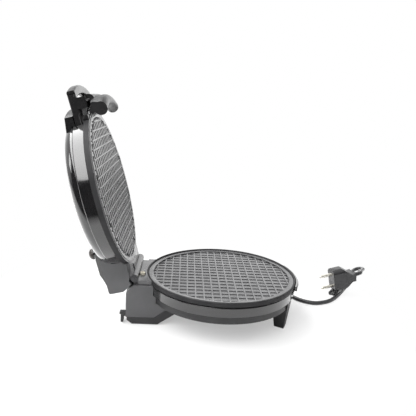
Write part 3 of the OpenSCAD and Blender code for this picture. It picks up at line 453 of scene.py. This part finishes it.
# %% [markdown]
# ## Dressing the moulded pieces
# A machine can cut a knife-sharp edge, a mould can't: each moulded edge has a small
# radius, and it is that radius which catches the light. A Bevel node in the shader would
# fake it in the render alone. So we copy the exact mesh, join its flat triangles back into
# whole faces, and let a Bevel modifier round the edges of the mesh itself.


# %% Dress one node
FINISH_OF = {**SLOT_OF, "handle": "handle_black", "handle_mount": "handle_black",
             "latch": "latch_black"}
SAME_POINT = 2e-6                    # points closer than this are one point
FLAT = radians(0.4)                  # faces that bend less than this are one face


def dressed(node, edge, steps=3, limit=30.0, reshape=None):
    """A copy of a node's mesh with rounded edges, edge in millimetres."""
    mesh = NODES[node].data.copy()
    if reshape:
        reshape(mesh)
    shape = bmesh.new()
    shape.from_mesh(mesh)
    bmesh.ops.remove_doubles(shape, verts=shape.verts, dist=SAME_POINT)
    bmesh.ops.dissolve_limit(shape, angle_limit=FLAT, verts=shape.verts, edges=shape.edges)
    shape.to_mesh(mesh)
    shape.free()
    mesh.materials.clear()
    mesh.materials.append(FINISHES[FINISH_OF[node]])
    mesh.polygons.foreach_set("use_smooth", [True] * len(mesh.polygons))
    mesh.set_sharp_from_angle(angle=radians(limit))
    obj = bpy.data.objects.new("dressed_" + node, mesh)
    bpy.context.scene.collection.objects.link(obj)
    rounding = obj.modifiers.new("rounding", "BEVEL")
    rounding.width = edge * MM
    rounding.segments = steps
    rounding.limit_method = "ANGLE"
    rounding.angle_limit = radians(limit)
    rounding.harden_normals = True
    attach(obj, BODY_OF[node])
    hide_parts(node)
    return obj


print("finishes that differ from the slot:", [n for n in FINISH_OF if FINISH_OF[n] != SLOT_OF[n]])

# %% Moulded shells, handle and plug
# widths in millimetres; where edges lie closer together, the modifier rounds less
EDGES = {"base_casing": 0.6, "bottom_pan": 0.5, "front_feet": 0.8, "latch_catch": 0.5,
         "base_band": 0.3, "lid_band": 0.3, "lid_cap": 0.3, "lid_block": 0.8,
         "control_cover": 0.8, "handle_mount": 1.6, "handle": 1.6, "latch": 1.0,
         "plug_body": 0.8, "rear_standoffs": 0.4, "hinge_clips": 0.1, "strain_relief": 0.3}
for node, edge in EDGES.items():
    piece = dressed(node, edge)
    print("dressed", node, len(piece.data.polygons), "faces")

# %% [markdown]
# ## The lead
# The lead has one length and one width, whatever way it lies.

# %% What the lead is
print("the lead is one curve with a round bevel")

# %% [markdown]
# ## The waffle plates
# Both plates are cast, so their ribs are lower and softer than the exact model's. We let
# the rib tops down before we dress the copies. Each top lies in one plane across the
# plate's own axis: the lower plate's axis is upright, and the upper one's leans back with
# the lid, so we measure along the two directions of the leaning lid.

# %% Directions of the open lid
LEAN = radians(105.8)
HINGE_X, HINGE_Z = -113.7 * MM, 60.2 * MM          # the hinge, from the plates' axis and table
PLATE_AXIS = Vector((SHIFT_X, 0, 0))
HINGE = Vector((HINGE_X + SHIFT_X, 0, HINGE_Z))
LID_UP = Vector((-sin(LEAN), 0, cos(LEAN)))        # what is up on the closed lid
LID_FRONT = Vector((cos(LEAN), 0, sin(LEAN)))      # what is to the front on the closed lid
print("the open lid's front points to", tuple(round(v, 3) for v in LID_FRONT))


# %% Lower the rib tops
LOWER_TOPS, UPPER_TOPS = 57.6 * MM, 58.8 * MM      # planes of the rib tops, lid closed
LOWER_DROP, UPPER_DROP = 0.45 * MM, 0.75 * MM
PATTERN_R = 90.69 * MM               # radius of the ribbed circle
SAME_LEVEL = 0.02 * MM               # slack when a point is said to lie at a height


def lower_ribs(mesh):
    for vertex in mesh.vertices:
        away = vertex.co - PLATE_AXIS
        on_top = abs(vertex.co.z - LOWER_TOPS) < SAME_LEVEL
        if on_top and sqrt(away.x ** 2 + away.y ** 2) < PATTERN_R:
            vertex.co.z -= LOWER_DROP


def upper_ribs(mesh):
    for vertex in mesh.vertices:
        arm = vertex.co - HINGE
        height, reach = arm.dot(LID_UP) + HINGE_Z, arm.dot(LID_FRONT) + HINGE_X
        on_top = abs(height - UPPER_TOPS) < SAME_LEVEL
        if on_top and sqrt(reach ** 2 + vertex.co.y ** 2) < PATTERN_R:
            vertex.co += LID_UP * UPPER_DROP


plates = {}
for node, reshape in (("lower_plate", lower_ribs), ("upper_plate", upper_ribs)):
    plates[node] = dressed(node, 0.3, 2, 30.0, reshape).data
    print("dressed", node, len(plates[node].polygons), "faces")

# %% [markdown]
# ## Painted light and shade on the plates
# The lip, the outer edge and the thin wall where the pattern ends are rougher, and are
# painted darker as shade; the rib tops are painted paler, partly as wear and partly as a
# painted highlight. A painted mask would blur at the borders, so each face is given its
# own finish, by its height and its distance from the plate's axis.


# %% Finishes of the plate faces
RIM_FROM, RIM_TO = 90.5 * MM, 101 * MM             # radii between which the rims lie
RIB_ENDS = 90.8 * MM                 # the rib tops lie within this radius
PALE_RIB_TOP, ROUGH_SHADED_RIM = 1, 2                # material slots after the first, the coating


def on_lower(point):
    """Height and distance from the axis of a point of the lower plate."""
    return point.z, (point.xy - PLATE_AXIS.xy).length


def on_upper(point):
    """The same of the upper plate, measured on the closed lid."""
    arm = point - HINGE
    reach = arm.dot(LID_FRONT) + HINGE_X
    return arm.dot(LID_UP) + HINGE_Z, sqrt(reach ** 2 + arm.y ** 2)


def lower_rim(near, far):
    """The narrow faces of lip and edge, by their smallest and largest radius."""
    return near > RIM_FROM and far < RIM_TO and far - near < 4 * MM


def upper_rim(near, far):
    """The outer edge, and the thin wall where the pattern ends."""
    return near > 99 * MM and far < RIM_TO or near > RIM_FROM and far < 91.6 * MM


def mark_faces(mesh, place, is_rim, up, tops):
    """Gives each face its slot; up is the way its rib tops face, tops their two heights."""
    mesh.materials.append(FINISHES["rib_top"])
    mesh.materials.append(FINISHES["plate_rim"])
    for face in mesh.polygons:
        heights, away = zip(*(place(mesh.vertices[i].co) for i in face.vertices))
        # rim faces take the rough finish painted darker as shade
        if is_rim(min(away), max(away)):
            face.material_index = ROUGH_SHADED_RIM
        # level rib tops take the finish painted paler, as wear and as a painted highlight
        level = min(heights) > tops[0] - SAME_LEVEL and max(heights) < tops[1] + SAME_LEVEL
        if level and max(away) < RIB_ENDS and face.normal.dot(up) > 0.9:
            face.material_index = PALE_RIB_TOP
    return sum(face.material_index == PALE_RIB_TOP for face in mesh.polygons)


marked = [mark_faces(plates["lower_plate"], on_lower, lower_rim, Vector((0, 0, 1)),
                     (LOWER_TOPS - LOWER_DROP, LOWER_TOPS)),
          mark_faces(plates["upper_plate"], on_upper, upper_rim, -LID_UP,
                     (UPPER_TOPS, UPPER_TOPS + UPPER_DROP))]
print("rib top faces, lower and upper:", marked)

# %% [markdown]
# ## The thermostat knob
# A knob that fingers turn has flutes. They could be a bump in its finish, but a bump
# leaves the outline round. So we press sixteen shallow ones into the mesh, each a few
# points wide, and leave the middle of the dome smooth.


# %% Fluted knob
def on_lid(x, y, z):
    """Where a point of the closed lid, in millimetres from the plate axis, stands open."""
    along, up = x * MM - HINGE_X, z * MM - HINGE_Z
    return HINGE + LID_FRONT * along + LID_UP * up + Vector((0, y * MM, 0))


KNOB_FOOT = on_lid(-73.7, -25, 103.6)
FLUTES, FLUTE_DEPTH = 16, 0.05       # number, and depth as a share of the radius
SMOOTH_R = 4.5 * MM                  # what lies nearer to the axis stays smooth


def flutes(mesh):
    across = Vector((0, 1, 0))
    for vertex in mesh.vertices:
        arm = vertex.co - KNOB_FOOT
        a, b, up = arm.dot(LID_FRONT), arm.dot(across), arm.dot(LID_UP)
        if sqrt(a * a + b * b) > SMOOTH_R and up > -0.1 * MM:
            press = FLUTE_DEPTH * (0.5 - 0.5 * cos(FLUTES * atan2(b, a)))
            vertex.co -= (LID_FRONT * a + across * b) * press


knob = dressed("thermostat_knob", 0.15, 2, 40.0, flutes)
print("knob:", len(knob.data.polygons), "faces")

# %% [markdown]
# ## The nodes that stay
# The other nodes keep the exact mesh: their edges are crisp on the real pieces as well.
# They only get their finish.

# %% Finishes for the nodes that stay
DRESSED = [*EDGES, *plates, "thermostat_knob"]
for node, obj in NODES.items():
    if node in DRESSED:
        continue
    obj.data.materials.clear()
    obj.data.materials.append(FINISHES[SLOT_OF[node]])
print(len(NODES) - len(DRESSED), "nodes keep their exact mesh")

# %% [markdown]
# ## The white sheet
# The appliance stands on a white sheet, of which only a soft contact shadow is seen. A
# plain white plane would turn grey away from the lamps. So this one is lit like paper
# near the object and fades into plain white further out.

# %% Floor
FLOOR_HALF = 6.0                     # metres, far beyond the edge of the picture
corners = [(-FLOOR_HALF, -FLOOR_HALF, 0), (FLOOR_HALF, -FLOOR_HALF, 0),
           (FLOOR_HALF, FLOOR_HALF, 0), (-FLOOR_HALF, FLOOR_HALF, 0)]
floor_mesh = bpy.data.meshes.new("floor")
floor_mesh.from_pydata(corners, [], [(0, 1, 2, 3)])
floor = bpy.data.objects.new("floor", floor_mesh)
bpy.context.scene.collection.objects.link(floor)
print("floor:", 2 * FLOOR_HALF, "m wide")

# %% Paper of the sheet
SWEEP_LIFT = 0.4                     # share of plain white on the sheet under the object
FADE_FROM, FADE_TO = 0.1, 0.3        # distances at which the fade starts and ends
FRONT_EDGE = -0.26                   # where the sheet ends in mirrors, on the camera's side
ROOM = 0.05                          # dark side of the room, behind the camera


def make_sweep():
    """White sheet: lit like paper near the object, and plain white further out."""
    material = bpy.data.materials.new("white sweep")
    material.use_nodes = True
    tree = material.node_tree
    paper = tree.nodes["Principled BSDF"]
    paper.inputs["Base Color"].default_value = (0.9, 0.9, 0.9, 1)
    paper.inputs["Roughness"].default_value = 0.6
    paper.inputs["Specular IOR Level"].default_value = 0.15
    white = add(tree, "ShaderNodeEmission", Color=(1.0, 1.0, 1.0, 1.0))
    place = tree.nodes.new("ShaderNodeTexCoord").outputs["Object"]
    split = tree.nodes.new("ShaderNodeSeparateXYZ")
    tree.links.new(place, split.inputs[0])
    distance = tree.nodes.new("ShaderNodeVectorMath")
    distance.operation = "LENGTH"
    tree.links.new(place, distance.inputs[0])
    rays = tree.nodes.new("ShaderNodeLightPath")
    camera_ray = rays.outputs["Is Camera Ray"]
    far = spread(tree, distance.outputs["Value"], FADE_FROM, FADE_TO, SWEEP_LIFT, 1.0)
    eye = maths(tree, "MULTIPLY", far, camera_ray)
    # mirrored in the lacquer, the sheet ends on the camera's side and the dark room begins
    beyond = spread(tree, split.outputs["Y"], FRONT_EDGE - 0.14, FRONT_EDGE, 1.0, 0.0)
    mirrored = maths(tree, "MULTIPLY", beyond, rays.outputs["Is Glossy Ray"])
    seen = maths(tree, "ADD", eye, mirrored)
    tree.links.new(maths(tree, "MAXIMUM", camera_ray, ROOM), white.inputs["Strength"])
    both = tree.nodes.new("ShaderNodeMixShader")
    tree.links.new(seen, both.inputs[0])
    tree.links.new(paper.outputs[0], both.inputs[1])
    tree.links.new(white.outputs[0], both.inputs[2])
    tree.links.new(both.outputs[0], tree.nodes["Material Output"].inputs["Surface"])
    return material


floor_mesh.materials.append(make_sweep())
print("floor material:", floor_mesh.materials[0].name)

# %% [markdown]
# ## Lamps
# Lacquer shows a lamp as a bright shape, so each lamp is a softbox: a bare bulb would
# leave a hard spot. A long strip overhead draws the bright line on the edge of the lid, a
# small weak one stands on the left, and a broad weak one far behind lights the rear edges.


# %% Lamps
def soft_lamp(name, at, target, size, watts):
    """A softbox of the given width and height, in metres, that faces its target."""
    data = bpy.data.lights.new(name, "AREA")
    data.shape = "RECTANGLE"
    data.size, data.size_y = size
    data.energy = watts
    obj = bpy.data.objects.new(name, data)
    obj.location = at
    obj.rotation_euler = (Vector(target) - Vector(at)).to_track_quat("-Z", "Y").to_euler()
    bpy.context.scene.collection.objects.link(obj)
    return obj


soft_lamp("overhead", (-0.5, -0.5, 1.05), (-0.12, -0.5, 0.15), (2.6, 0.7), 40.0)
soft_lamp("left", (-1.2, -0.3, 0.7), (0.0, 0.0, 0.1), (0.4, 0.4), 3.0)
soft_lamp("back", (0.45, 2.3, 0.62), (0.0, 0.0, 0.12), (2.0, 1.2), 9.0)
print("lamps:", ", ".join(lamp.name for lamp in bpy.data.lights))

# %% [markdown]
# ## The room
# Black lacquer shows what stands round it, so the room matters as much as the lamps. A
# picture of a studio could light it, but a few maths nodes are enough here: the lacquer
# mirrors white above and behind, and a dark room low on the camera's side. Matt surfaces
# get a weaker, even light, and the eye sees plain white all round.

# %% World
FILL = 0.5                           # world light that reaches matt surfaces
DARK_SIDE = (-0.35, -0.1)            # directions along Y between which the dark side fades
CEILING = (0.55, 0.75)               # directions along Z between which the white begins
world = bpy.data.worlds.new("studio")
world.use_nodes = True
bpy.context.scene.world = world
sky = world.node_tree
background = sky.nodes["Background"]
path_info = sky.nodes.new("ShaderNodeLightPath")
camera_ray = path_info.outputs["Is Camera Ray"]
seen = maths(sky, "MAXIMUM", camera_ray, path_info.outputs["Is Glossy Ray"])
seen = maths(sky, "MAXIMUM", seen, path_info.outputs["Is Transmission Ray"])
towards = sky.nodes.new("ShaderNodeSeparateXYZ")
sky.links.new(sky.nodes.new("ShaderNodeTexCoord").outputs["Generated"], towards.inputs[0])
dark_side = spread(sky, towards.outputs["Y"], *DARK_SIDE, ROOM, 1.0)
ceiling = spread(sky, towards.outputs["Z"], *CEILING, 0.0, 1.0)
mirrored_room = maths(sky, "MAXIMUM", dark_side, ceiling)
mirrored_room = maths(sky, "MAXIMUM", mirrored_room, camera_ray)
sky.links.new(spread_between(sky, seen, FILL, mirrored_room), background.inputs["Strength"])
background.inputs["Color"].default_value = (1.0, 1.0, 1.0, 1.0)
bpy.context.scene.view_settings.view_transform = "Standard"
print("world nodes:", len(sky.nodes))
